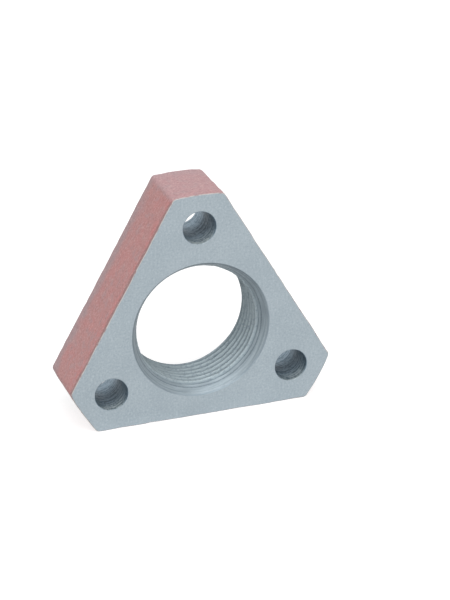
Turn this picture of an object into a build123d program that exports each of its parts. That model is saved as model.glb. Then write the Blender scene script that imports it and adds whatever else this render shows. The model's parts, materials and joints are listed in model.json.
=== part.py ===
from build123d import *
import os

# Threaded pipe flange with three bolts: one iron casting, machined on the joint face,
# drilled for the bolts and bored for a 1-1/4 inch taper pipe thread.
# Millimetres. +Z is up, X runs along the flat foot, and the bore runs along Y.
# The origin is on the bore's axis, in the machined joint face, which faces -Y.

# Outline: three straight sides with a shallow crown across each corner
side_count = 3
flat_distance = 28.6  # bore axis to a straight side
crown_reach = 44.0  # bore axis to the middle of a crown
crown_radius = 66.0  # curvature of a crown
corner_radius = 1.8  # where a straight side turns into a crown
first_corner_angle = 90.0  # one corner points straight up, so a flat is the foot

# Casting
thickness = 22.2  # joint face to cast back
back_edge_radius = 1.5  # cast rounding from the rim into the back

# Pipe thread: drilled straight through at the tap size and countersunk from both faces
pipe_diameter = 42.16  # outside diameter of the pipe that screws in
tap_drill_diameter = 38.1
mouth_clearance = 1.2  # on the pipe's diameter, at each countersunk mouth
countersink_angle = 60.0  # included angle of the bore's and the bolt holes' mouths

# Bolt holes, countersunk from the back, where the bolts go in
bolt_circle_diameter = 66.7
bolt_diameter = 9.5
bolt_clearance = 0.8  # on the bolt's diameter
bolt_mouth_clearance = 5.3  # on the hole's diameter

mouth_diameter = pipe_diameter + mouth_clearance
bolt_hole_diameter = bolt_diameter + bolt_clearance
bolt_mouth_diameter = bolt_hole_diameter + bolt_mouth_clearance
corner_turn = 360.0 / side_count

joint_plane = Plane.XZ
back_plane = Plane(origin=(0, thickness, 0), x_dir=(-1, 0, 0), z_dir=(0, 1, 0))

os.makedirs("parts", exist_ok=True)

with BuildPart() as flange:
    # Cast blank, drawn in the joint face and carried back through the thickness
    with BuildSketch(joint_plane):
        RegularPolygon(
            radius=flat_distance,
            side_count=side_count,
            major_radius=False,
            rotation=first_corner_angle,
        )
        for corner in range(side_count):
            with PolarLocations(
                crown_reach - crown_radius, 1, start_angle=first_corner_angle + corner * corner_turn
            ):
                Circle(crown_radius, mode=Mode.INTERSECT)
    extrude(amount=-thickness)

    # Corner edges first, so that the back edge can run round them in one smooth loop
    fillet(flange.edges().filter_by(Axis.Y), corner_radius)
    cast_back = flange.faces().sort_by(Axis.Y)[-1]
    fillet(cast_back.outer_wire().edges(), back_edge_radius)

    # Bore for the pipe thread, with the same countersink at both mouths
    for mouth_plane in (joint_plane, back_plane):
        with Locations(mouth_plane):
            CounterSinkHole(
                radius=tap_drill_diameter / 2,
                counter_sink_radius=mouth_diameter / 2,
                counter_sink_angle=countersink_angle,
            )

    # One bolt hole behind each crown
    with Locations(back_plane):
        with PolarLocations(
            bolt_circle_diameter / 2, side_count, start_angle=first_corner_angle
        ):
            CounterSinkHole(
                radius=bolt_hole_diameter / 2,
                counter_sink_radius=bolt_mouth_diameter / 2,
                counter_sink_angle=countersink_angle,
            )

flange.part.label = "flange"
export_step(flange.part, "parts/flange.step")

bore_wall = flange.faces().filter_by(GeomType.CYLINDER).sort_by(SortBy.AREA)[-1]
print("bore wall length:", round(bore_wall.bounding_box().size.Y, 3))
print("wall, mouth to flat:", round(flat_distance - mouth_diameter / 2, 2))
print("wall, bolt mouth to bore mouth:",
      round((bolt_circle_diameter - mouth_diameter - bolt_mouth_diameter) / 2, 2))
print("wall, bolt mouth to crown:",
      round(crown_reach - (bolt_circle_diameter + bolt_mouth_diameter) / 2, 2))
print("volume:", round(flange.part.volume, 1))
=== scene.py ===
"""Looks of a threaded pipe flange with three bolt holes.

The casting stands on one flat. Its machined joint face looks along -Y, its bore runs along Y
and its painted rim goes round it. Lengths are in millimetres until a mesh or a camera is made.
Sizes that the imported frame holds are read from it.
"""

import json
import logging
import math
from dataclasses import dataclass
from enum import Enum
from typing import Sequence

import bmesh
import bpy
import numpy as np
from mathutils import Matrix, Vector


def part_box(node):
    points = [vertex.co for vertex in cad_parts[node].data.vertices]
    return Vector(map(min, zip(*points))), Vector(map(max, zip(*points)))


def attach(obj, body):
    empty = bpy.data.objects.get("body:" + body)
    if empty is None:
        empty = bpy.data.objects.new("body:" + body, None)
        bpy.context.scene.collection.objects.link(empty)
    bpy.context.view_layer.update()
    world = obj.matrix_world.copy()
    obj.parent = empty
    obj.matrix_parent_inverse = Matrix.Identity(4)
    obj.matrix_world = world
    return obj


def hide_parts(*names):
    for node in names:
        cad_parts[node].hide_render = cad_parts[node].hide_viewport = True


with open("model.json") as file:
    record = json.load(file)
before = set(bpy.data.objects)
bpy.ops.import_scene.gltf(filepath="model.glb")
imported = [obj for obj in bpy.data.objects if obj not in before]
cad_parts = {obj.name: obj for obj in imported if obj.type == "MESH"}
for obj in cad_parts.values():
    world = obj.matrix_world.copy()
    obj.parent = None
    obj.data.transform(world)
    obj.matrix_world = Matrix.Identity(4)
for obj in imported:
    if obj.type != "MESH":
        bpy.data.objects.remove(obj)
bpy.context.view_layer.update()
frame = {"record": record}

log = logging.getLogger("flange")

METRE = 1000.0  # millimetres
Socket = bpy.types.NodeSocket
Colour = tuple[int, int, int]
Triple = tuple[float, float, float]
Fed = Socket | float | Triple


def mount(name: str) -> dict:
    """The record's mount of that name."""
    return next(m for m in frame["record"]["mounts"] if m["name"] == name)


def linear(colour: Colour) -> Triple:
    """A colour as it shows on screen, in the linear numbers that the shaders use.

    Each channel c / 255 is divided by 12.92 up to 0.04045, and above it becomes
    ((c / 255 + 0.055) / 1.055) to the power 2.4.

    Args:
        colour: red, green and blue, 0 to 255.

    Returns:
        The three linear channels.
    """
    shown = np.array(colour) / 255.0
    curve = ((shown + 0.055) / 1.055) ** 2.4
    return tuple(float(c) for c in np.where(shown <= 0.04045, shown / 12.92, curve))


def circle(angles: np.ndarray | float, radius: float = 1.0) -> np.ndarray:
    """Points of a circle about the origin: the radius times the cosine and the sine."""
    return radius * np.stack([np.cos(angles), np.sin(angles)], axis=-1)


def raised(flat: np.ndarray, y: np.ndarray | float) -> np.ndarray:
    """Points (x, z) of the joint plane put at y, as (x, y, z)."""
    return np.stack([flat[..., 0], np.broadcast_to(y, flat.shape[:-1]), flat[..., 1]], axis=-1)


def ruled(first: np.ndarray, last: np.ndarray, steps: int) -> np.ndarray:
    """A grid whose rows run evenly and straight from the first row of points to the last."""
    share = np.linspace(0.0, 1.0, steps + 1)[:, None, None]
    return first + share * (last - first)


def placed(name: str, data: bpy.types.ID) -> bpy.types.Object:
    """A new object of the scene, made of this mesh, lamp or camera.

    Args:
        name: the object's name.
        data: what it is made of.

    Returns:
        The object, at the origin.
    """
    item = bpy.data.objects.new(name, data)
    bpy.context.scene.collection.objects.link(item)
    return item


class Zone(Enum):
    """The parts of the surface that have a finish of their own."""

    SKIN = 0
    FACE = 1
    THREAD = 2
    COUNTERSINK = 3
    DRILLED = 4
    EDGE = 5


@dataclass
class Patch:
    """A grid of points on the surface and the zone of its faces.

    Attributes:
        points: rows by columns by (x, y, z), in millimetres. In a grid that goes all the
            way round, the last column repeats the first.
        zone: one zone for all faces, or a grid of zone values, one for each face.
    """

    points: np.ndarray
    zone: Zone | np.ndarray

    def faces(self) -> np.ndarray:
        """Corner numbers of the four-sided faces, counted within this patch.

        Face (i, j) joins points (i, j), (i, j + 1), (i + 1, j + 1) and (i + 1, j).

        Returns:
            An array of faces by four corners.
        """
        rows, columns = self.points.shape[:2]
        number = np.arange(rows * columns).reshape(rows, columns)
        corners = (number[:-1, :-1], number[:-1, 1:], number[1:, 1:], number[1:, :-1])
        return np.stack(corners, axis=-1).reshape(-1, 4)

    def zones(self) -> np.ndarray:
        """The zone value of each face.

        Returns:
            The values, in the order of faces().
        """
        if isinstance(self.zone, Zone):
            return np.full(len(self.faces()), self.zone.value)
        return self.zone.reshape(-1)


def welded_mesh(name: str, patches: Sequence[Patch], sharp_angle: float) -> bpy.types.Mesh:
    """One closed mesh from patches that share their borders.

    The patches' points are stacked, points in the same place are merged, and the faces are
    then turned outwards.

    Args:
        name: the mesh's name.
        patches: the patches of the whole surface.
        sharp_angle: degrees between two faces past which their edge is drawn sharp.

    Returns:
        The mesh, in metres.
    """
    merge_distance = 2e-6  # metres
    starts = np.cumsum([0] + [p.points.shape[0] * p.points.shape[1] for p in patches])
    points = np.concatenate([p.points.reshape(-1, 3) for p in patches]) / METRE
    corners = np.concatenate([p.faces() + start for p, start in zip(patches, starts)])
    zones = np.concatenate([p.zones() for p in patches])

    mesh = bpy.data.meshes.new(name)
    mesh.from_pydata(points, [], corners, shade_flat=False)
    mesh.polygons.foreach_set("material_index", zones.astype(np.int32))

    shell = bmesh.new()
    shell.from_mesh(mesh)
    bmesh.ops.remove_doubles(shell, verts=shell.verts, dist=merge_distance)
    bmesh.ops.recalc_face_normals(shell, faces=shell.faces)
    open_edges = sum(not edge.is_manifold for edge in shell.edges)
    log.info("%s: %d open edges, volume %.1f cubic mm", name, open_edges,
             shell.calc_volume(signed=True) * METRE**3)
    shell.to_mesh(mesh)
    shell.free()
    mesh.set_sharp_from_angle(angle=math.radians(sharp_angle))
    return mesh


@dataclass(frozen=True)
class Waviness:
    """An uneven surface, as a depth below the even one. As it stands it is sand-cast iron
    under its paint.

    Attributes:
        mean_depth: middle of the waviness.
        spread: how far the depth strays from its middle, as a standard deviation.
        most_depth: the deepest hollow.
        longest_wave: longest wave along the surface.
        shortest_wave: shortest wave along the surface.
        waves: how many plane waves are added up.
        seed: start of the random directions and phases.
    """

    mean_depth: float = 0.08
    spread: float = 0.05
    most_depth: float = 0.26
    longest_wave: float = 14.0
    shortest_wave: float = 2.2
    waves: int = 56
    seed: int = 11

    def depth(self, points: np.ndarray) -> np.ndarray:
        """How far the surface lies below the even one at each point.

        The depth is the mean plus a sum of cosines of plane waves in random directions. A
        wave's height grows with the square root of its length. The sum is kept between
        nothing and the deepest hollow.

        Args:
            points: any shape of points, the last axis being (x, y, z).

        Returns:
            The depth at each point, in millimetres.
        """
        chance = np.random.default_rng(self.seed)
        directions = chance.normal(size=(self.waves, 3))
        directions /= np.linalg.norm(directions, axis=1, keepdims=True)
        lengths = np.geomspace(self.longest_wave, self.shortest_wave, self.waves)
        phases = chance.uniform(0.0, 2.0 * math.pi, self.waves)
        heights = np.sqrt(lengths)
        heights *= self.spread / math.sqrt(0.5 * np.sum(heights**2))
        angles = points @ (directions * (2.0 * math.pi / lengths)[:, None]).T + phases
        return np.clip(self.mean_depth + np.cos(angles) @ heights, 0.0, self.most_depth)


@dataclass(frozen=True)
class Outline:
    """The casting's outline in its joint plane: three flats with a shallow crown between.

    Attributes:
        flat_distance: bore axis to a flat.
        crown_reach: bore axis to the middle of a crown.
        crown_radius: curvature of a crown.
        corner_radius: turn from a flat into a crown.
        corners: how many crowns there are.
        first_corner: direction of the first crown, in degrees from +X towards +Z.
        flat_steps: grid steps from the middle of a flat to its end.
        corner_steps: grid steps round a corner radius.
        crown_steps: grid steps from the middle of a crown to its end.
    """

    flat_distance: float
    crown_reach: float
    crown_radius: float = 66.0
    corner_radius: float = 1.8
    corners: int = 3
    first_corner: float = 90.0
    flat_steps: int = 50
    corner_steps: int = 6
    crown_steps: int = 10

    @property
    def corner_directions(self) -> np.ndarray:
        """Direction of each crown from the bore axis, in radians."""
        turns = np.arange(self.corners) / self.corners
        return math.radians(self.first_corner) + 2.0 * math.pi * turns

    def half_corner(self) -> tuple[np.ndarray, np.ndarray]:
        """Half a corner, from the middle of its crown to the middle of the next flat.

        The axes point outwards through the crown and sideways. The crown is an arc about a
        point on the outward axis. The corner radius is an arc that touches the crown from
        inside and the flat. Its centre is where the flat, moved inwards by the radius,
        meets the crown's circle made smaller by the radius.

        Returns:
            Points and outward normals, each steps by (outwards, sideways).
        """
        half_turn = math.pi / self.corners
        flat_normal = circle(half_turn)
        flat_along = flat_normal[::-1] * np.array([1.0, -1.0])
        crown_centre = np.array([self.crown_reach - self.crown_radius, 0.0])
        foot = (self.flat_distance - self.corner_radius) * flat_normal
        offset = foot - crown_centre
        inner_radius = self.crown_radius - self.corner_radius
        lean = offset @ flat_along
        run = -lean + math.sqrt(lean**2 - offset @ offset + inner_radius**2)
        corner_centre = foot + run * flat_along
        out = corner_centre - crown_centre
        crown_end = math.atan2(out[1], out[0])
        crown_angles = np.linspace(0.0, crown_end, self.crown_steps + 1)[:-1]
        corner_angles = np.linspace(crown_end, half_turn, self.corner_steps + 1)[:-1]
        along = np.linspace(run, 0.0, self.flat_steps + 1)[:, None]
        points = np.concatenate([
            crown_centre + circle(crown_angles, self.crown_radius),
            corner_centre + circle(corner_angles, self.corner_radius),
            self.flat_distance * flat_normal + along * flat_along,
        ])
        angles = np.concatenate([crown_angles, corner_angles, np.full(len(along), half_turn)])
        return points, circle(angles)

    def loop(self) -> tuple[np.ndarray, np.ndarray]:
        """The closed outline, corner by corner, each from one flat's middle to the next.

        Half a corner is mirrored about its outward axis, and the whole corner is turned to
        each crown's direction.

        Returns:
            Points and outward normals, each corners by steps by (x, z).
        """
        mirror = np.array([1.0, -1.0])
        cosines, sines = circle(self.corner_directions).T[..., None]
        turned = []
        for half in self.half_corner():
            out, side = np.concatenate([half[::-1] * mirror, half[1:-1]]).T
            x, z = out * cosines - side * sines, out * sines + side * cosines
            turned.append(np.stack([x, z], axis=-1))
        return turned[0], turned[1]


@dataclass(frozen=True)
class PipeThread:
    """A taper pipe thread cut into the bore, right-handed, entered from the cast back.

    Attributes:
        crest_radius: the tap drill's wall, left on the crests.
        pitch: from one groove to the next.
        root_radius: bottom of a groove at the cast back.
        taper: fall of the radius for each millimetre along the bore.
        flank_angle: between a flank and a plane across the bore, in degrees.
        root_flat: width of a groove's bottom.
        full_depth: depth of a full thread, as a share of the pitch.
        mouth_radius: both mouths' countersink, at its face.
        mouth_angle: half of the countersink, in degrees.
        edge_break: how much further out the deburred edge of a mouth reaches.
        edge_angle: lean of the deburred edge from the bore's axis, in degrees.
        tears: how far the tap has torn the crests and the flanks.
        rows_per_pitch: grid rows from one groove to the next.
        lead: how far the grooves are moved towards the joint face, as a share of the pitch.
    """

    crest_radius: float
    mouth_radius: float = 21.68
    mouth_angle: float = 30.0
    edge_break: float = 0.22
    edge_angle: float = 48.0
    pitch: float = 25.4 / 11.5
    root_radius: float = 20.99
    taper: float = 1.0 / 32.0
    flank_angle: float = 30.0
    root_flat: float = 0.08
    full_depth: float = 0.8
    tears: Waviness = Waviness(
        mean_depth=0.0, spread=0.05, most_depth=0.2, longest_wave=3.5, shortest_wave=0.8, seed=5
    )
    rows_per_pitch: int = 14
    lead: float = 0.2

    @property
    def opening_radius(self) -> float:
        """Radius of the deburred edge in the face."""
        return self.mouth_radius + self.edge_break

    def mouth(self, depth: np.ndarray) -> np.ndarray:
        """Radius of a mouth at some depth below its face.

        The countersink's cone and the steeper cone of the deburred edge each narrow by the
        tangent of their angle, and the wider one stands.

        Args:
            depth: depth below the face.

        Returns:
            The radius at each depth.
        """
        countersink = self.mouth_radius - depth * math.tan(math.radians(self.mouth_angle))
        edge = self.opening_radius - depth * math.tan(math.radians(self.edge_angle))
        return np.maximum(countersink, edge)

    def groove(self, phase: np.ndarray, from_back: np.ndarray) -> np.ndarray:
        """Radius of the threaded wall.

        A groove's bottom lies at the root radius, less the taper. Its flanks rise inwards
        by the cotangent of the flank angle, and stop at the crest radius or at the depth of
        a full thread.

        Args:
            phase: place across the thread in pitches, whole at the bottom of a groove.
            from_back: distance from the cast back.

        Returns:
            The radius at each place.
        """
        root = self.root_radius - from_back * self.taper
        beside = np.abs(phase - np.round(phase)) * self.pitch - self.root_flat / 2.0
        rise = np.maximum(beside, 0.0) / math.tan(math.radians(self.flank_angle))
        full = root - np.minimum(rise, self.full_depth * self.pitch)
        return np.maximum(full, self.crest_radius)

    def patch(self, angles: np.ndarray, thickness: float) -> Patch:
        """The whole wall of the bore as one sheared grid.

        Column i stands at angle i, and row j follows the helix, so it lies at
        y = pitch * (j / rows_per_pitch - turns made), held between the two faces. Angles
        grow against the thread's turn, so a right-hand helix falls as they grow. The radius
        there is the largest of the thread, with what is torn out of it, and the two mouths.

        Args:
            angles: directions of the columns in radians, over one full turn, ends included.
            thickness: distance between the two faces.

        Returns:
            The patch, with its threaded and its countersunk faces told apart.
        """
        turns = (angles - angles[0]) / (2.0 * math.pi)
        rows = math.ceil(self.rows_per_pitch * (thickness / self.pitch + 1.0))
        phase = np.arange(rows + 1)[:, None] / self.rows_per_pitch - turns[None, :]
        y = np.clip(phase * self.pitch, 0.0, thickness)
        thread = self.groove(phase + self.lead, thickness - y)
        wall = raised(thread[..., None] * circle(angles), y)
        thread = thread + self.tears.depth(wall)
        mouths = np.maximum(self.mouth(y), self.mouth(thickness - y))
        points = raised(np.maximum(thread, mouths)[..., None] * circle(angles), y)
        cut = mouths >= thread
        all_cut = cut[:-1, :-1] & cut[:-1, 1:] & cut[1:, 1:] & cut[1:, :-1]
        zones = np.where(all_cut, Zone.COUNTERSINK.value, Zone.THREAD.value)
        return Patch(points, zones)


@dataclass(frozen=True)
class BoltHoles:
    """Three drilled holes, one behind each crown, countersunk at the cast back.

    Attributes:
        circle_radius: bore axis to a hole's axis.
        radius: the drilled wall.
        edge_break: the deburred edge at the joint face.
        mouth_radius: the countersink at the cast back.
        mouth_angle: half of the countersink, in degrees.
        wall_steps: grid steps along the drilled wall.
        mouth_steps: grid steps down the countersink.
    """

    circle_radius: float
    radius: float
    edge_break: float = 0.15
    mouth_radius: float = 7.8
    mouth_angle: float = 30.0
    wall_steps: int = 24
    mouth_steps: int = 4

    def centre(self, direction: float) -> np.ndarray:
        """The hole's axis in the joint plane, for a crown's direction in radians."""
        return circle(direction, self.circle_radius)

    def profile(self, thickness: float) -> np.ndarray:
        """The wall from the joint face to the cast back: the broken edge, the drilled
        wall, and the countersink, whose cone widens to the mouth radius at the back.

        Args:
            thickness: distance between the two faces.

        Returns:
            Steps by (radius, y).
        """
        depth = (self.mouth_radius - self.radius) / math.tan(math.radians(self.mouth_angle))
        wall = np.linspace(self.edge_break, thickness - depth, self.wall_steps + 1)
        cone = np.linspace(0.0, 1.0, self.mouth_steps + 1)[1:]
        radii = np.concatenate([
            [self.radius + self.edge_break],
            np.full(len(wall), self.radius),
            self.radius + cone * (self.mouth_radius - self.radius),
        ])
        heights = np.concatenate([[0.0], wall, thickness - depth + cone * depth])
        return np.stack([radii, heights], axis=-1)


@dataclass(frozen=True)
class Rim:
    """The cast rim's section, from the joint face round to the cast back.

    Attributes:
        edge_break: the machined edge at the joint face.
        back_radius: the cast rounding at the back.
        side_steps: grid steps across the straight side.
        back_steps: grid steps round the rounding.
    """

    edge_break: float = 0.22
    back_radius: float = 1.5
    side_steps: int = 30
    back_steps: int = 6

    def section(self, thickness: float) -> tuple[np.ndarray, np.ndarray]:
        """The section as an inset from the outline and a height above the joint face.

        It goes up the edge break, along the straight side and round a quarter circle of the
        back radius, which ends in the cast back.

        Args:
            thickness: joint face to cast back.

        Returns:
            Steps by (inset, y), and the section's outward normals, steps by (outwards, y).
        """
        side = np.linspace(self.edge_break, thickness - self.back_radius, self.side_steps + 1)
        turn = np.linspace(0.0, math.pi / 2.0, self.back_steps + 1)[1:]
        inset = np.concatenate([
            [self.edge_break],
            np.zeros(len(side)),
            self.back_radius * (1.0 - np.cos(turn)),
        ])
        rounding = thickness - self.back_radius * (1.0 - np.sin(turn))
        height = np.concatenate([[0.0], side, rounding])
        lean = np.concatenate([np.zeros(len(side) + 1), turn])
        return np.stack([inset, height], axis=-1), circle(lean)


@dataclass(frozen=True)
class Flange:
    """The whole casting: its rim, its two faces, its bore and its bolt holes.

    Attributes:
        thickness: joint face to cast back.
        outline: the casting's outline.
        rim: the rim's section.
        thread: the bore.
        holes: the bolt holes.
        skin: the waviness of the cast surfaces.
        flat_cell_steps: grid steps of the outline, each side of a flat's middle, that face
            the bore and no bolt hole.
        bore_corner_steps: grid steps of the bore's edge that face one bolt hole.
        spoke_steps: grid steps from the bore to the outline.
        front_rings: rings of faces round a bolt hole on the joint face.
        back_rings: rings of faces round a bolt hole on the cast back.
        calm_width: width beside a mouth in the cast back over which the waviness dies out.
        sharp_angle: degrees past which an edge is drawn sharp.
        name: the piece's name.
    """

    thickness: float
    outline: Outline
    rim: Rim
    thread: PipeThread
    holes: BoltHoles
    skin: Waviness
    flat_cell_steps: int = 17
    bore_corner_steps: int = 62
    spoke_steps: int = 10
    front_rings: int = 5
    back_rings: int = 12
    calm_width: float = 1.3
    sharp_angle: float = 32.0
    name: str = "threaded_flange"

    @property
    def bore_steps(self) -> int:
        """Grid steps round the bore."""
        return self.outline.corners * (self.bore_corner_steps + 2 * self.flat_cell_steps)

    def bore_arc(self, corner: float, steps: np.ndarray) -> np.ndarray:
        """Directions on the bore's edge, counted in grid steps from a crown's direction."""
        return corner + 2.0 * math.pi * steps / self.bore_steps

    def rim_patch(self) -> Patch:
        """The rim: its section carried round the outline, then let down by the skin's depth
        along the surface's own normal.

        Returns:
            The patch, from the joint face to the cast back.
        """
        loops = (part.reshape(-1, 2) for part in self.outline.loop())
        points, normals = (np.concatenate([loop, loop[:1]]) for loop in loops)
        section, lean = self.rim.section(self.thickness)
        place = raised(points - section[:, None, :1] * normals, section[:, None, 1])
        outwards = raised(lean[:, None, :1] * normals, lean[:, None, 1])
        place = place - self.skin.depth(place)[..., None] * outwards
        zones = np.full((place.shape[0] - 1, place.shape[1] - 1), Zone.SKIN.value)
        zones[0] = Zone.EDGE.value
        return Patch(place, zones)

    def cell_border(self, border: np.ndarray, corner: int) -> np.ndarray:
        """The closed border of the region round one bolt hole.

        It follows the outline over the crown, comes in along a spoke to the bore's edge,
        follows that edge back and goes out along the other spoke.

        Args:
            border: the outline, corners by steps by (x, z).
            corner: number of the crown.

        Returns:
            Points by (x, z), the last one repeating the first.
        """
        crown = border[corner, self.flat_cell_steps:1 - self.flat_cell_steps]
        half = self.bore_corner_steps / 2.0
        steps = np.linspace(half, -half, self.bore_corner_steps + 1)
        angles = self.bore_arc(self.outline.corner_directions[corner], steps)
        edge = circle(angles, self.thread.opening_radius)
        inwards = ruled(crown[-1:], edge[:1], self.spoke_steps)[1:-1, 0]
        outwards = ruled(edge[-1:], crown[:1], self.spoke_steps)[1:, 0]
        return np.concatenate([crown, inwards, edge, outwards])

    def hole_rings(self, corner: int, radii: np.ndarray | float) -> np.ndarray:
        """Rings round a bolt hole, with a point on each ray to the border of its region.

        Args:
            corner: number of the crown.
            radii: radius of each ring.

        Returns:
            Points by (x, z).
        """
        nominal, _ = self.outline.loop()
        centre = self.holes.centre(self.outline.corner_directions[corner])
        rays = self.cell_border(nominal, corner) - centre
        return centre + radii * (rays / np.linalg.norm(rays, axis=1, keepdims=True))

    def plate(self, border: np.ndarray, hole_radius: float, rings: int) -> list[np.ndarray]:
        """One face of the casting, as grids that leave the bore and the bolt holes open.

        Round each bolt hole, rings run evenly from the hole's edge to the border of its
        region. Between two such regions, spokes run evenly from the bore's edge to the flat.

        Args:
            border: the outline of this face, corners by steps by (x, z).
            hole_radius: radius of the bolt holes in this face.
            rings: rings of faces round a bolt hole.

        Returns:
            Grids by (x, z), first one round each bolt hole, then one at each flat.
        """
        grids = []
        for corner in range(self.outline.corners):
            edge = self.hole_rings(corner, hole_radius)
            grids.append(ruled(edge, self.cell_border(border, corner), rings))
        cell = self.flat_cell_steps
        for corner, direction in enumerate(self.outline.corner_directions):
            following = border[(corner + 1) % self.outline.corners, :cell + 1]
            flat = np.concatenate([border[corner, -cell:], following])
            steps = self.bore_corner_steps / 2.0 + np.arange(2 * cell + 1)
            edge = circle(self.bore_arc(direction, steps), self.thread.opening_radius)
            grids.append(ruled(edge, flat, self.spoke_steps))
        return grids

    def calm(self, flat: np.ndarray) -> np.ndarray:
        """Share of the waviness that is left beside the mouths in the cast back.

        It grows from nothing at a mouth's edge to all of it at the calm width, by the
        smooth step t * t * (3 - 2 * t).

        Args:
            flat: points, the last axis being (x, z).

        Returns:
            The share at each point.
        """
        gaps = [np.linalg.norm(flat, axis=-1) - self.thread.opening_radius]
        for direction in self.outline.corner_directions:
            away = np.linalg.norm(flat - self.holes.centre(direction), axis=-1)
            gaps.append(away - self.holes.mouth_radius)
        t = np.clip(np.minimum.reduce(gaps) / self.calm_width, 0.0, 1.0)
        return t * t * (3.0 - 2.0 * t)

    def face_patches(self, rim: Patch) -> list[Patch]:
        """The joint face, flat, and the cast back, let down by the skin's depth.

        Args:
            rim: the rim's patch, whose first and last rows border the two faces.

        Returns:
            The patches of both faces.
        """
        rows = rim.points[[0, -1], :-1][..., [0, 2]]
        front_border, back_border = rows.reshape(2, self.outline.corners, -1, 2)
        front_hole = self.holes.radius + self.holes.edge_break
        front = self.plate(front_border, front_hole, self.front_rings)
        patches = [Patch(raised(grid, 0.0), Zone.FACE) for grid in front]
        for grid in self.plate(back_border, self.holes.mouth_radius, self.back_rings):
            place = raised(grid, self.thickness)
            place[..., 1] -= self.skin.depth(place) * self.calm(grid)
            patches.append(Patch(place, Zone.SKIN))
        return patches

    def hole_patches(self) -> list[Patch]:
        """The bolt holes' walls: the hole's profile turned about its axis, as rings that
        meet those of both faces.

        Returns:
            One patch for each hole.
        """
        profile = self.holes.profile(self.thickness)[:, None]
        patches = []
        for corner in range(self.outline.corners):
            flat = self.hole_rings(corner, profile[..., :1])
            patches.append(Patch(raised(flat, profile[..., 1]), Zone.DRILLED))
        return patches

    def bore_patch(self) -> Patch:
        """The bore's wall, with a column at each grid step round the bore.

        Returns:
            The patch.
        """
        steps = np.arange(self.bore_steps + 1) - self.bore_corner_steps / 2.0
        angles = self.bore_arc(self.outline.corner_directions[0], steps)
        return self.thread.patch(angles, self.thickness)

    def build(self) -> bpy.types.Object:
        """The casting as one closed mesh, in the place of its CAD node.

        Returns:
            The object.
        """
        rim = self.rim_patch()
        patches = [rim, *self.face_patches(rim), *self.hole_patches(), self.bore_patch()]
        mesh = welded_mesh(self.name, patches, self.sharp_angle)
        return placed(self.name, mesh)


class Nodes:
    """A node tree, with a short method for each kind of node that both the finishes and the
    studio use."""

    def __init__(self, tree: bpy.types.NodeTree) -> None:
        """Takes hold of the tree."""
        self.tree = tree

    def feed(self, socket: Socket, value: Fed) -> None:
        """Links a socket to another, or sets its own value.

        Args:
            socket: the input.
            value: an output to link, a number, or the three numbers of a colour or place.
        """
        if isinstance(value, Socket):
            self.tree.links.new(value, socket)
        elif isinstance(value, tuple) and len(socket.default_value) == 4:
            socket.default_value = (*value, 1.0)
        else:
            socket.default_value = value

    def node(self, kind: str, output: str, inputs: dict[str | int, Fed],
             **options: str) -> Socket:
        """Adds a node.

        Args:
            kind: its type, without the prefix that all have.
            output: name of the output to return.
            inputs: what its inputs are fed.
            options: its settings.

        Returns:
            The output.
        """
        node = self.tree.nodes.new("ShaderNode" + kind)
        for name, option in options.items():
            setattr(node, name, option)
        for name, value in inputs.items():
            self.feed(node.inputs[name], value)
        return node.outputs[output]

    def maths(self, operation: str, *values: Socket | float) -> Socket:
        """One arithmetic node."""
        return self.node("Math", "Value", dict(enumerate(values)), operation=operation)

    def by_ray(self, ordinary: float, shown: float) -> Socket:
        """One number for ordinary rays and another for those that show the background.

        Args:
            ordinary: the number for the rays that light the object.
            shown: the number for rays from the camera, mirrored and refracted ones too.

        Returns:
            The number.
        """
        path = self.tree.nodes.new("ShaderNodeLightPath").outputs
        seen = path["Is Camera Ray"]
        for name in ("Is Glossy Ray", "Is Transmission Ray"):
            seen = self.maths("MAXIMUM", seen, path[name])
        inputs = {"Value": seen, "To Min": ordinary, "To Max": shown}
        return self.node("MapRange", "Result", inputs)


@dataclass(frozen=True)
class Layer:
    """A colour laid over another by a smooth step of some value.

    Attributes:
        colour: the layer's colour.
        start: the value at which the layer begins.
        full: the value at which it is full, above the start or below it.
        share: how much of the layer shows where it is full.
    """

    colour: Colour
    start: float
    full: float
    share: float = 1.0


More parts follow.
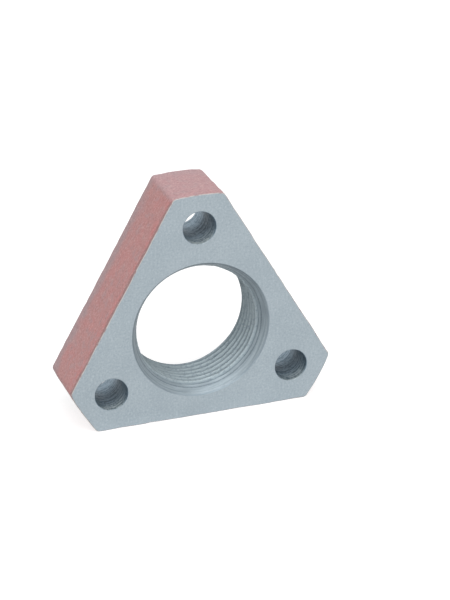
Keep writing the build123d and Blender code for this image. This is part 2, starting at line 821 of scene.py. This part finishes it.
class FinishNodes(Nodes):
    """The nodes of one material, whose patterns all lie on Object coordinates."""

    def __init__(self, name: str, colour: Colour) -> None:
        """Makes the material.

        Args:
            name: its name.
            colour: its colour, before any layer lies over it.
        """
        self.material = bpy.data.materials.new(name)
        self.material.use_nodes = True
        super().__init__(self.material.node_tree)
        coordinates = self.tree.nodes.new("ShaderNodeTexCoord").outputs
        self.place, self.facing = coordinates["Object"], coordinates["Normal"]
        self.colour: Socket | Triple = linear(colour)
        self.normal: Socket | None = None

    def stretched(self, scale: Triple) -> Socket:
        """The place on the piece, multiplied along each axis."""
        return self.node("VectorMath", "Vector", {0: self.place, 1: scale}, operation="MULTIPLY")

    def along(self, axis: str) -> Socket:
        """The place along one axis, in millimetres."""
        return self.maths("MULTIPLY", self.node("SeparateXYZ", axis, {0: self.place}), METRE)

    def upwards(self) -> Socket:
        """How far the surface faces up, 1 where it is level and 0 where it is upright."""
        return self.node("SeparateXYZ", "Z", {0: self.facing})

    def from_bore_axis(self) -> Socket:
        """Distance from the bore's axis, in millimetres."""
        flat = self.stretched((METRE, 0.0, METRE))
        return self.node("VectorMath", "Value", {0: flat}, operation="LENGTH")

    def noise(self, size: float, detail: float = 3.0, roughness: float = 0.5,
              scale: Triple = (1.0, 1.0, 1.0)) -> Socket:
        """Soft noise from 0 to 1.

        Args:
            size: size of its features in millimetres.
            detail: how many finer layers it has.
            roughness: how strong the finer layers are.
            scale: what the place is multiplied by, below 1 where the noise is drawn out.

        Returns:
            The noise's value.
        """
        inputs = {"Vector": self.stretched(scale), "Scale": METRE / size,
                  "Detail": detail, "Roughness": roughness}
        return self.node("TexNoise", "Fac", inputs)

    def rings(self, size: float) -> Socket:
        """Uneven rings round a hole along Y: noise that is drawn out twelvefold across Y."""
        across = 1.0 / 12.0
        return self.noise(size, roughness=0.6, scale=(across, 1.0, across))

    def between(self, value: Socket, low: float, high: float) -> Socket:
        """A number that goes from low to high as a value goes from 0 to 1."""
        return self.maths("MULTIPLY_ADD", value, high - low, low)

    def strayed(self, value: Socket, noise: Socket, stray: float) -> Socket:
        """A value that noise moves up or down by as much as the stray."""
        return self.maths("ADD", value, self.between(noise, -stray, stray))

    def away(self, value: Socket, middle: float) -> Socket:
        """How far a value is from a number, either way."""
        return self.maths("ABSOLUTE", self.maths("SUBTRACT", value, middle))

    def band(self, value: Socket, low: float, high: float) -> Socket:
        """A smooth step, 0 below low and 1 above high, or the other way round."""
        inputs = {"Value": value, "From Min": low, "From Max": high}
        return self.node("MapRange", "Result", inputs, interpolation_type="SMOOTHSTEP")

    def lay(self, layer: Layer, value: Socket, within: Socket | float = 1.0) -> None:
        """Mixes a layer into the colour, by its step times its shares.

        Args:
            layer: the layer.
            value: the value that its step goes by.
            within: a further share, by which the layer is held back.
        """
        step = self.maths("MULTIPLY", self.band(value, layer.start, layer.full), within)
        node = self.tree.nodes.new("ShaderNodeMix")
        node.data_type = "RGBA"
        below, above = (socket for socket in node.inputs if socket.type == "RGBA")
        self.feed(node.inputs["Factor"], self.maths("MULTIPLY", step, layer.share))
        self.feed(below, self.colour)
        self.feed(above, linear(layer.colour))
        self.colour = next(socket for socket in node.outputs if socket.type == "RGBA")

    def bump(self, height: Socket, depth: float, strength: float = 1.0) -> None:
        """Adds a bump to the normal.

        Args:
            height: 0 to 1.
            depth: depth of the full height in millimetres.
            strength: share of the bump.
        """
        inputs = {"Height": height, "Distance": depth / METRE, "Strength": strength}
        if self.normal is not None:
            inputs["Normal"] = self.normal
        self.normal = self.node("Bump", "Normal", inputs)

    def finish(self, roughness: Socket | float, metallic: Socket | float,
               specular: float) -> bpy.types.Material:
        """Feeds the shader with the colour, the normal and these values.

        Args:
            roughness: 0 for a mirror, 1 for chalk.
            metallic: 0 for paint, 1 for bare metal.
            specular: strength of the shine, 0.5 being usual.

        Returns:
            The finished material.
        """
        values = {"Base Color": self.colour, "Normal": self.normal, "Roughness": roughness,
                  "Metallic": metallic, "Specular IOR Level": specular}
        for name, value in values.items():
            self.feed(self.tree.nodes["Principled BSDF"].inputs[name], value)
        return self.material


@dataclass(frozen=True)
class DustyPrimer:
    """Dull red primer over cast skin. It is redder near the machined edge, where it is torn
    to a dark line, greyer towards the cast back, and paler and less red on the top crown.

    Attributes:
        paint: the paint itself.
        fresh: patches that kept their red.
        greyer: the paint near the cast back, by the distance from the joint face.
        redder: the strip behind the machined edge, by the same distance.
        paler_crown: paler, less red paint on the top crown, by its height.
        dulled: patches of dust.
        torn: the paint's broken edge, by the distance from the joint face.
        specks: grains that dust has dulled.
        pits: hollows of the sand-cast skin.
        ragged: how far the torn edge strays.
        drift: how far the greyer and the redder paint stray.
    """

    paint: Colour = (190, 140, 138)
    fresh: Layer = Layer((206, 132, 130), 0.5, 0.36, 0.22)
    greyer: Layer = Layer((174, 150, 153), 15.0, 20.0, 0.9)
    redder: Layer = Layer((206, 132, 130), 4.5, 0.0, 0.8)
    paler_crown: Layer = Layer((183, 150, 153), 41.8, 43.1, 0.75)
    dulled: Layer = Layer((174, 150, 153), 0.48, 0.66, 0.45)
    torn: Layer = Layer((126, 112, 114), 2.1, 0.6, 0.65)
    specks: Layer = Layer((222, 190, 187), 0.53, 0.68, 0.38)
    pits: Layer = Layer((140, 95, 93), 0.47, 0.32, 0.38)
    ragged: float = 1.4
    drift: float = 5.0

    def material(self) -> bpy.types.Material:
        """The paint, grained by the sand mould and mottled by dust.

        Returns:
            The material.
        """
        tree = FinishNodes("dusty_primer", self.paint)
        depth, height = tree.along("Y"), tree.along("Z")
        mottle = tree.noise(size=2.6, detail=4.0, roughness=0.6)
        grain = tree.noise(size=0.62, roughness=0.6)
        reach = tree.strayed(depth, tree.noise(size=2.6, detail=4.0), self.ragged)
        wander = tree.strayed(depth, tree.noise(size=6.0), self.drift)
        tree.lay(self.fresh, tree.noise(size=5.5))
        tree.lay(self.greyer, wander)
        tree.lay(self.redder, wander)
        tree.lay(self.paler_crown, height)
        tree.lay(self.dulled, mottle)
        below_crown = tree.band(height, self.paler_crown.full, self.paler_crown.start)
        tree.lay(self.torn, reach, within=below_crown)
        tree.lay(self.specks, grain)
        tree.lay(self.pits, grain)
        tree.bump(grain, depth=0.045)
        tree.bump(mottle, depth=0.1, strength=0.6)
        return tree.finish(roughness=0.6, metallic=0.0, specular=0.4)


@dataclass(frozen=True)
class MilledIron:
    """Bare grey iron milled flat, matt and finely grained, with a faint lay.

    Attributes:
        metal: its usual colour.
        patches: slow duller patches.
        tops: the tops of the lay.
        sparks: bright grains.
        flecks: dull grains of graphite.
        lay_scale: by which the lay is drawn out upwards.
    """

    metal: Colour = (157, 167, 173)
    patches: Layer = Layer((134, 146, 154), 0.7, 0.3, 0.24)
    tops: Layer = Layer((184, 194, 200), 0.5, 0.75, 0.12)
    sparks: Layer = Layer((184, 194, 200), 0.5, 0.74, 0.32)
    flecks: Layer = Layer((134, 146, 154), 0.5, 0.28, 0.45)
    lay_scale: Triple = (1.0, 1.0, 0.12)

    def material(self) -> bpy.types.Material:
        """The metal, with its lay, its grain and its slow patches.

        Returns:
            The material.
        """
        tree = FinishNodes("milled_iron", self.metal)
        patches = tree.noise(size=11.0, roughness=0.55)
        lay = tree.noise(size=0.5, detail=2.0, scale=self.lay_scale)
        grain = tree.noise(size=0.62, detail=2.0, roughness=0.6)
        tree.lay(self.patches, patches)
        tree.lay(self.tops, lay)
        tree.lay(self.sparks, grain)
        tree.lay(self.flecks, grain)
        rough = tree.between(patches, low=0.5, high=0.56)
        tree.bump(lay, depth=0.002, strength=0.6)
        tree.bump(grain, depth=0.01, strength=0.6)
        return tree.finish(roughness=rough, metallic=1.0, specular=0.5)


@dataclass(frozen=True)
class ThreadedIron:
    """Iron cut by a tap: brighter on the crests, with painted shade dark in the grooves, torn
    here and there.

    Attributes:
        crest: colour on the crests.
        root: painted shade in the grooves, by the distance from the bore's axis.
        torn: where the tap has torn the metal.
        rubbed: brighter places on the flanks.
    """

    crest: Colour = (156, 168, 173)
    root: Layer = Layer((115, 129, 138), 19.1, 20.5)
    torn: Layer = Layer((104, 117, 127), 0.5, 0.32, 0.5)
    rubbed: Layer = Layer((156, 168, 173), 0.55, 0.7, 0.3)

    def material(self) -> bpy.types.Material:
        """The metal, darkened by painted shade with the distance from the bore's axis.

        Returns:
            The material.
        """
        tree = FinishNodes("threaded_iron", self.crest)
        chatter = tree.noise(size=0.9, roughness=0.65)
        # painted shade: darker towards the bottoms of the grooves
        tree.lay(self.root, tree.from_bore_axis())
        tree.lay(self.torn, chatter)
        tree.lay(self.rubbed, chatter)
        tree.bump(chatter, depth=0.02, strength=0.7)
        return tree.finish(roughness=0.6, metallic=0.5, specular=0.3)


@dataclass(frozen=True)
class CountersunkIron:
    """Iron cut by a countersink, with fine rings round the bore and painted shade on its broken
    edge.

    Attributes:
        metal: its colour.
        rings: the shade between the rings.
        flecks: the same shade in its grain.
        outer_line: the tool's line beside the broken edge, by the distance from its middle.
        inner_shade_line: a painted shade line where the first threads begin, by the distance
            from its middle.
        edge: painted shade on the broken edge, by the distance from the bore's axis.
        outer_radius: radius of the outer line.
        inner_radius: radius of the painted shade line.
        ragged: how far the lines and the edge stray.
    """

    metal: Colour = (164, 176, 183)
    rings: Layer = Layer((147, 159, 166), 0.62, 0.38)
    flecks: Layer = Layer((147, 159, 166), 0.48, 0.3, 0.5)
    outer_line: Layer = Layer((96, 108, 117), 0.18, 0.0, 0.25)
    inner_shade_line: Layer = Layer((96, 108, 117), 0.18, 0.0, 0.7)
    edge: Layer = Layer((96, 108, 117), 21.3, 21.55, 0.42)
    outer_radius: float = 21.1
    inner_radius: float = 20.2
    ragged: float = 0.15

    def material(self) -> bpy.types.Material:
        """The metal, with its turned rings.

        Returns:
            The material.
        """
        tree = FinishNodes("countersunk_iron", self.metal)
        rings = tree.rings(size=0.7)
        grain = tree.noise(size=0.6, roughness=0.65)
        radius = tree.strayed(tree.from_bore_axis(), grain, self.ragged)
        tree.lay(self.rings, rings)
        tree.lay(self.flecks, grain)
        tree.lay(self.outer_line, tree.away(radius, self.outer_radius))
        # painted shade: a dark line where the first threads begin
        tree.lay(self.inner_shade_line, tree.away(radius, self.inner_radius))
        # painted shade: dark on the broken edge of the mouth
        tree.lay(self.edge, radius)
        tree.bump(rings, depth=0.012, strength=0.5)
        tree.bump(grain, depth=0.01, strength=0.6)
        return tree.finish(roughness=0.55, metallic=0.5, specular=0.3)


@dataclass(frozen=True)
class WornEdge:
    """The machined edge, rubbed bare in places and lightened there by a painted highlight, with
    remains of filler and paint.

    Attributes:
        bare: its usual pale colour, bare metal lightened by a painted highlight.
        stained: where paint is left.
    """

    bare: Colour = (182, 180, 178)
    stained: Layer = Layer((156, 138, 138), 0.5, 0.65)

    def material(self) -> bpy.types.Material:
        """The edge, stained in patches.

        Returns:
            The material.
        """
        # painted highlight: the pale base colour is partly light caught by the edge
        tree = FinishNodes("worn_edge", self.bare)
        stains = tree.noise(size=2.4, roughness=0.6)
        tree.lay(self.stained, stains)
        tree.bump(stains, depth=0.02, strength=0.5)
        return tree.finish(roughness=0.65, metallic=0.1, specular=0.2)


@dataclass(frozen=True)
class DrilledIron:
    """Iron cut by a twist drill, scored round by its lips, dull near the joint face and shinier
    towards the cast back, where painted light from the back opening makes it lighter. Painted
    light from above the mouth makes the bottom wall pale, inside the joint face.

    Attributes:
        dull: its colour near the joint face.
        lit_from_back: its colour towards the cast back, by the distance from the joint face:
            shinier metal, made lighter by painted light from the back opening.
        painted_bottom_light: painted light on the bottom wall, by how far the surface faces up.
        scored: the scores, by their height.
        light_reach: how far from the joint face the painted light reaches.
        grit_share: height of the grit beside that of the scores.
    """

    dull: Colour = (126, 145, 158)
    lit_from_back: Layer = Layer((154, 172, 185), 8.0, 15.5)
    painted_bottom_light: Layer = Layer((170, 180, 181), 0.2, 0.95, 0.9)
    scored: Layer = Layer((54, 73, 87), 1.0, 0.74)
    light_reach: float = 6.0
    grit_share: float = 0.8

    def material(self) -> bpy.types.Material:
        """The metal, with the drill's scores round the hole.

        Returns:
            The material.
        """
        tree = FinishNodes("drilled_iron", self.dull)
        grit = tree.noise(size=0.8, detail=4.0, roughness=0.7)
        height = tree.maths("MULTIPLY_ADD", grit, self.grit_share, tree.rings(size=0.75))
        depth = tree.along("Y")
        lit_from_back = tree.band(depth, self.lit_from_back.start, self.lit_from_back.full)
        near = tree.band(depth, self.light_reach, 0.0)
        # painted light: lighter and shinier towards the cast back, as if lit through the back
        # opening
        tree.lay(self.lit_from_back, depth)
        # painted light: pale on the upward-facing wall near the joint face
        tree.lay(self.painted_bottom_light, tree.upwards(), within=near)
        tree.lay(self.scored, height, within=tree.between(lit_from_back, low=0.8, high=0.5))
        metallic = tree.between(lit_from_back, low=0.1, high=0.75)
        tree.bump(height, depth=0.1, strength=0.7)
        return tree.finish(roughness=0.4, metallic=metallic, specular=0.2)


@dataclass(frozen=True)
class PhotoCamera:
    """The camera, set where the photograph was taken from.

    Attributes:
        aim: the point of the joint plane in the middle of the picture.
        distance: camera to that point.
        azimuth: round the object, in degrees, 0 looking along +Y.
        elevation: above the horizon, in degrees.
        roll: turn about the line of sight, in degrees.
        lens: focal length on a picture whose long side is the film's width.
        film: the film's width.
    """

    aim: Triple = (7.652, 0.0, 8.738)
    distance: float = 718.11
    azimuth: float = -18.988
    elevation: float = 24.315
    roll: float = -0.741
    lens: float = 142.933
    film: float = 36.0

    def place(self) -> None:
        """Makes the camera, looking at its aim, and makes it the scene's.

        It looks straight down at first. It is rolled about its line of sight, tipped up to
        its elevation, turned to its azimuth and drawn back from its aim by the distance.
        """
        turn = Matrix.Rotation(math.radians(self.azimuth), 4, "Z")
        turn @= Matrix.Rotation(math.radians(90.0 - self.elevation), 4, "X")
        turn @= Matrix.Rotation(math.radians(self.roll), 4, "Z")
        place = (Vector(self.aim) + turn @ Vector((0.0, 0.0, self.distance))) / METRE
        data = bpy.data.cameras.new("photo_camera")
        data.lens = self.lens
        data.sensor_width = self.film
        camera = placed("photo_camera", data)
        camera.matrix_world = Matrix.Translation(place) @ turn
        bpy.context.scene.camera = camera


@dataclass(frozen=True)
class Lamp:
    """A soft square lamp.

    Attributes:
        name: its name.
        place: where it hangs, in millimetres.
        size: the length of its sides.
        level: how bright it makes a white sheet that faces it at the object, 1 being white.
    """

    name: str
    place: Triple
    size: float
    level: float

    def hang(self, target: Vector) -> None:
        """Makes the lamp, facing the target.

        A lamp of power P at distance d gives a facing white sheet P / (pi * pi * d * d).

        Args:
            target: the point it faces, in metres.
        """
        place = Vector(self.place) / METRE
        data = bpy.data.lights.new(self.name, "AREA")
        data.size = self.size / METRE
        data.energy = self.level * (math.pi * (place - target).length) ** 2
        lamp = placed(self.name, data)
        lamp.location = place
        lamp.rotation_euler = (place - target).to_track_quat("Z", "Y").to_euler()


@dataclass(frozen=True)
class Studio:
    """A pale floor and soft light from all round, with lamps above, to the left and in front.

    Attributes:
        floor_level: height of the floor.
        floor_reach: from the middle of the floor to its sides.
        ambient: brightness of the light from all round.
        backing: share of the floor's white that no shadow can take, as the camera sees it.
        floor_shade: the floor's own pale grey, which takes the light and the shadow.
        lamps: the lamps.
    """

    floor_level: float
    floor_reach: float = 9000.0
    ambient: float = 0.3
    backing: float = 0.75
    floor_shade: float = 0.45
    lamps: tuple[Lamp, ...] = (
        Lamp("top_lamp", (100.0, -1400.0, 2650.0), 2400.0, 0.72),
        Lamp("left_lamp", (-1800.0, -300.0, 2300.0), 1800.0, 0.13),
        Lamp("front_lamp", (-700.0, -2800.0, 800.0), 1600.0, 0.34),
    )

    def light_world(self) -> None:
        """Fills the surroundings with even light that shows as white."""
        world = bpy.data.worlds.new("studio")
        world.use_nodes = True
        tree = Nodes(world.node_tree)
        background = world.node_tree.nodes["Background"].inputs
        tree.feed(background["Color"], (1.0, 1.0, 1.0))
        tree.feed(background["Strength"], tree.by_ray(self.ambient, 1.0))
        bpy.context.scene.world = world

    def floor_material(self) -> bpy.types.Material:
        """Pale grey that takes light and shadow, with a glow where it shows.

        Returns:
            The material.
        """
        material = bpy.data.materials.new("floor")
        material.use_nodes = True
        nodes = material.node_tree.nodes
        nodes.remove(nodes["Principled BSDF"])
        tree = Nodes(material.node_tree)
        shade = tree.node("BsdfDiffuse", "BSDF", {"Color": (self.floor_shade,) * 3})
        glow = tree.node("Emission", "Emission", {"Strength": tree.by_ray(0.0, self.backing)})
        both = tree.node("AddShader", "Shader", {0: shade, 1: glow})
        tree.feed(nodes["Material Output"].inputs["Surface"], both)
        return material

    def lay_floor(self) -> None:
        """Lays the floor, pale, with a soft shadow where the object stands."""
        reach, level = self.floor_reach / METRE, self.floor_level / METRE
        signs = ((-1, -1), (1, -1), (1, 1), (-1, 1))
        corners = [(x * reach, y * reach, level) for x, y in signs]
        mesh = bpy.data.meshes.new("floor")
        mesh.from_pydata(corners, [], [(0, 1, 2, 3)])
        mesh.materials.append(self.floor_material())
        floor = placed("floor", mesh)

    def build(self, target: Vector) -> None:
        """Makes the world, the floor and the lamps.

        Args:
            target: the point that the lamps face, in metres.
        """
        bpy.context.scene.view_settings.view_transform = "Standard"
        self.light_world()
        self.lay_floor()
        for lamp in self.lamps:
            lamp.hang(target)


def main() -> None:
    """Builds the casting, dresses it and sets the studio and the camera round it."""
    logging.basicConfig(level=logging.INFO)
    low, high = (np.array(corner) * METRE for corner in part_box("flange"))
    bolts = mount("bolt_circle")["dims"]
    flange = Flange(
        thickness=float(high[1]),
        outline=Outline(flat_distance=float(-low[2]), crown_reach=float(high[2])),
        rim=Rim(),
        thread=PipeThread(crest_radius=mount("pipe_thread")["dims"]["r_mm"]),
        holes=BoltHoles(circle_radius=bolts["pcd_mm"] / 2.0, radius=bolts["hole_r_mm"]),
        skin=Waviness(),
    )
    piece = flange.build()
    finishes = {
        Zone.SKIN: DustyPrimer(),
        Zone.FACE: MilledIron(),
        Zone.THREAD: ThreadedIron(),
        Zone.COUNTERSINK: CountersunkIron(),
        Zone.DRILLED: DrilledIron(),
        Zone.EDGE: WornEdge(),
    }
    for zone in Zone:
        piece.data.materials.append(finishes[zone].material())
    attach(piece, "root")
    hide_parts("flange")
    log.info("%s: %d faces", piece.name, len(piece.data.polygons))

    Studio(floor_level=float(low[2])).build(Vector((low + high) / 2.0) / METRE)
    PhotoCamera().place()


if __name__ == "__main__":
    main()
